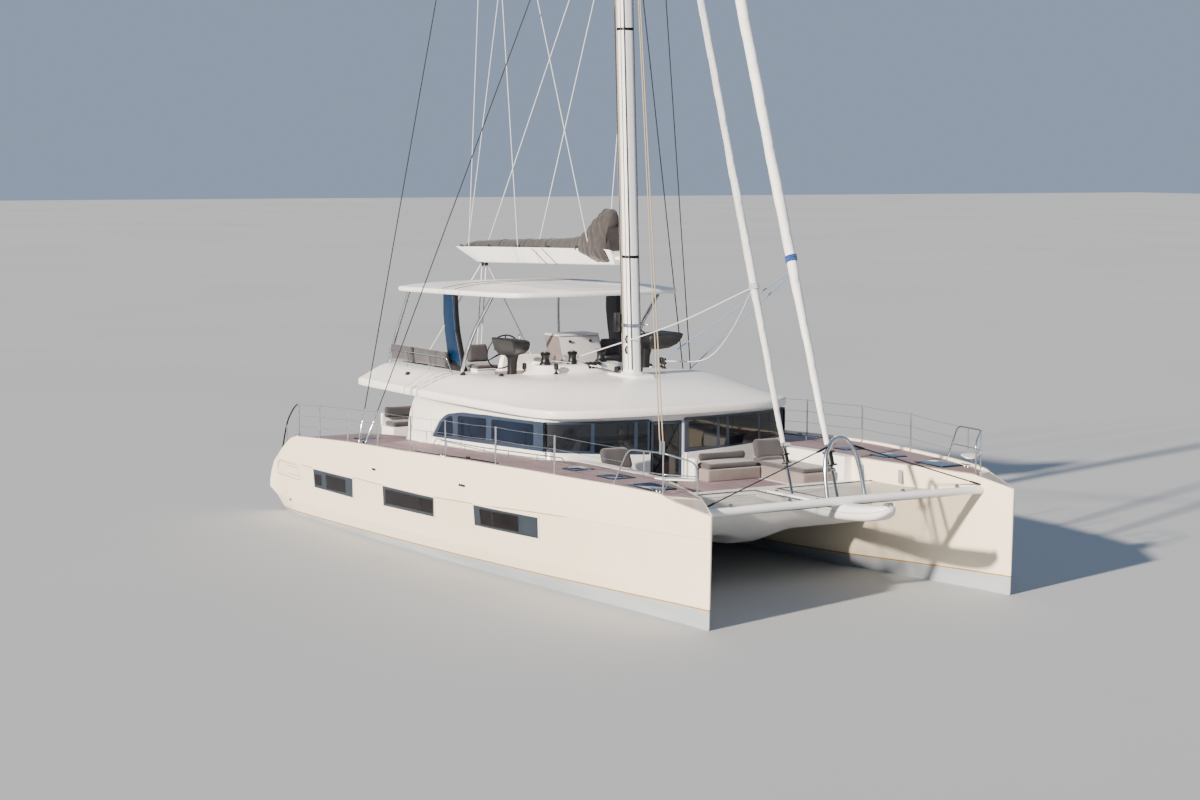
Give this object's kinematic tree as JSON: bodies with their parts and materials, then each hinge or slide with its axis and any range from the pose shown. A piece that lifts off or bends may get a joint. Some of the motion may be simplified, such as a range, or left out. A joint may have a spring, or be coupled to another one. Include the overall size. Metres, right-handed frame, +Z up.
{
  "type": "sailing catamaran with flybridge",
  "caption": "Cruising sailing catamaran afloat, with twin hulls, saloon, flybridge under a hardtop, raked mast, boom and furled headsails.",
  "frame": {"origin": "on the centreline at the waterline, amidships", "axes": "+X forward to the bows, +Y to port, +Z up"},
  "size_m": [20.03, 10.04, 34.15],
  "materials": {
    "gelcoat": "gloss cream gelcoat",
    "white_gelcoat": "gloss white gelcoat",
    "navy_gelcoat": "gloss navy gelcoat",
    "antifouling": "matt grey antifouling",
    "bronze": "polished bronze",
    "tinted_glass": "tinted glass",
    "black_moulding": "satin black",
    "cushion_fabric": "grey outdoor fabric",
    "stainless_steel": "polished stainless",
    "painted_aluminium": "white paint",
    "rigging": "black coated wire",
    "sailcloth": "furled white sailcloth",
    "canvas": "grey sail cover",
    "netting": "dark net",
    "oak": "satin oak"
  },
  "bodies": {
    "hull": {"aft_cockpit_sofa": "cushion_fabric", "aft_cockpit_table": "oak", "aft_fixed_window": "tinted_glass", "bowsprit": "painted_aluminium", "bridgedeck": "gelcoat", "crossbeam": "painted_aluminium", "flybridge_bar": "white_gelcoat", "flybridge_deck": "white_gelcoat", "galley_island": "oak", "genoa": "sailcloth", "hardtop": "white_gelcoat", "mast": "painted_aluminium", "port_cap_shroud": "rigging", "port_flybridge_sofa": "cushion_fabric", "port_forward_lounge": "cushion_fabric", "port_front_glass": "tinted_glass", "port_guard_rail": "stainless_steel", "port_hardtop_aft_strut": "stainless_steel", "port_hardtop_blade": "navy_gelcoat", "port_hardtop_forward_strut": "stainless_steel", "port_helm_console": "black_moulding", "port_hull": "gelcoat", "port_keel": "antifouling", "port_lower_shroud": "rigging", "port_net": "netting", "port_shaft_bracket": "bronze", "port_side_glass": "tinted_glass", "saloon_sofa": "cushion_fabric", "saloon_walls": "white_gelcoat", "starboard_cap_shroud": "rigging", "starboard_flybridge_sofa": "cushion_fabric", "starboard_forward_lounge": "cushion_fabric", "starboard_front_glass": "tinted_glass", "starboard_guard_rail": "stainless_steel", "starboard_hardtop_aft_strut": "stainless_steel", "starboard_hardtop_blade": "navy_gelcoat", "starboard_hardtop_forward_strut": "stainless_steel", "starboard_helm_console": "black_moulding", "starboard_hull": "gelcoat", "starboard_keel": "antifouling", "starboard_lower_shroud": "rigging", "starboard_net": "netting", "starboard_shaft_bracket": "bronze", "starboard_side_glass": "tinted_glass", "staysail": "sailcloth", "striker_arch": "stainless_steel", "winch_deck": "white_gelcoat"},
    "boom": {"boom": "painted_aluminium", "stowed_mainsail": "canvas"},
    "port_rudder": {"port_rudder": "antifouling"},
    "starboard_rudder": {"starboard_rudder": "antifouling"},
    "port_propeller": {"port_propeller": "bronze"},
    "starboard_propeller": {"starboard_propeller": "bronze"},
    "port_helm_wheel": {"port_helm_wheel": "black_moulding"},
    "starboard_helm_wheel": {"starboard_helm_wheel": "black_moulding"},
    "aft_sliding_door": {"aft_sliding_door": "tinted_glass"},
    "forward_door": {"forward_door": "tinted_glass"},
    "platform_arms": {"platform_arms": "stainless_steel"},
    "tender_platform": {"tender_platform": "gelcoat"}
  },
  "joints": [
    {"name": "boom_swing", "type": "hinge", "parent": "hull", "child": "boom", "pos_m": [0.11, 0, 6.86], "axis": [0, 0, 1], "range_deg": [-40, 40]},
    {"name": "port_rudder_turn", "type": "hinge", "parent": "hull", "child": "port_rudder", "pos_m": [-8.3, 3.72, -0.56], "axis": [0, 0, 1], "range_deg": [-35, 35]},
    {"name": "starboard_rudder_turn", "type": "hinge", "parent": "hull", "child": "starboard_rudder", "pos_m": [-8.3, -3.72, -0.56], "axis": [0, 0, 1], "range_deg": [-35, 35]},
    {"name": "port_wheel_turn", "type": "hinge", "parent": "hull", "child": "port_helm_wheel", "pos_m": [-2.35, 1.85, 4.56], "axis": [0.9511, 0, -0.309], "range_deg": [-540, 540]},
    {"name": "starboard_wheel_turn", "type": "hinge", "parent": "hull", "child": "starboard_helm_wheel", "pos_m": [-2.35, -1.85, 4.56], "axis": [0.9511, 0, -0.309], "range_deg": [-540, 540]},
    {"name": "port_propeller_spin", "type": "hinge", "parent": "hull", "child": "port_propeller", "pos_m": [-6.95, 3.7, -0.98], "axis": [0.9903, 0, 0.1392], "continuous": true},
    {"name": "starboard_propeller_spin", "type": "hinge", "parent": "hull", "child": "starboard_propeller", "pos_m": [-6.95, -3.7, -0.98], "axis": [0.9903, 0, 0.1392], "continuous": true},
    {"name": "aft_door_slide", "type": "slide", "parent": "hull", "child": "aft_sliding_door", "axis": [0, -1, 0], "range_m": [0, 1.7]},
    {"name": "forward_door_swing", "type": "hinge", "parent": "hull", "child": "forward_door", "pos_m": [2.733, -0.848, 1.95], "axis": [0, 0, 1], "range_deg": [-100, 0]},
    {"name": "platform_arm_swing", "type": "hinge", "parent": "hull", "child": "platform_arms", "pos_m": [-7.6, 0, 0.93], "axis": [0, 1, 0], "range_deg": [-55, 0]},
    {"name": "platform_level", "type": "hinge", "parent": "platform_arms", "child": "tender_platform", "pos_m": [-8.64, 0, 0.9], "axis": [0, 1, 0], "range_deg": [0, 55]}
  ],
  "couplings": [
    {"joint": "starboard_rudder_turn", "follows": "port_rudder_turn", "ratio": 1},
    {"joint": "port_wheel_turn", "follows": "port_rudder_turn", "ratio": 15},
    {"joint": "starboard_wheel_turn", "follows": "port_rudder_turn", "ratio": 15},
    {"joint": "platform_level", "follows": "platform_arm_swing", "ratio": -1}
  ]
}
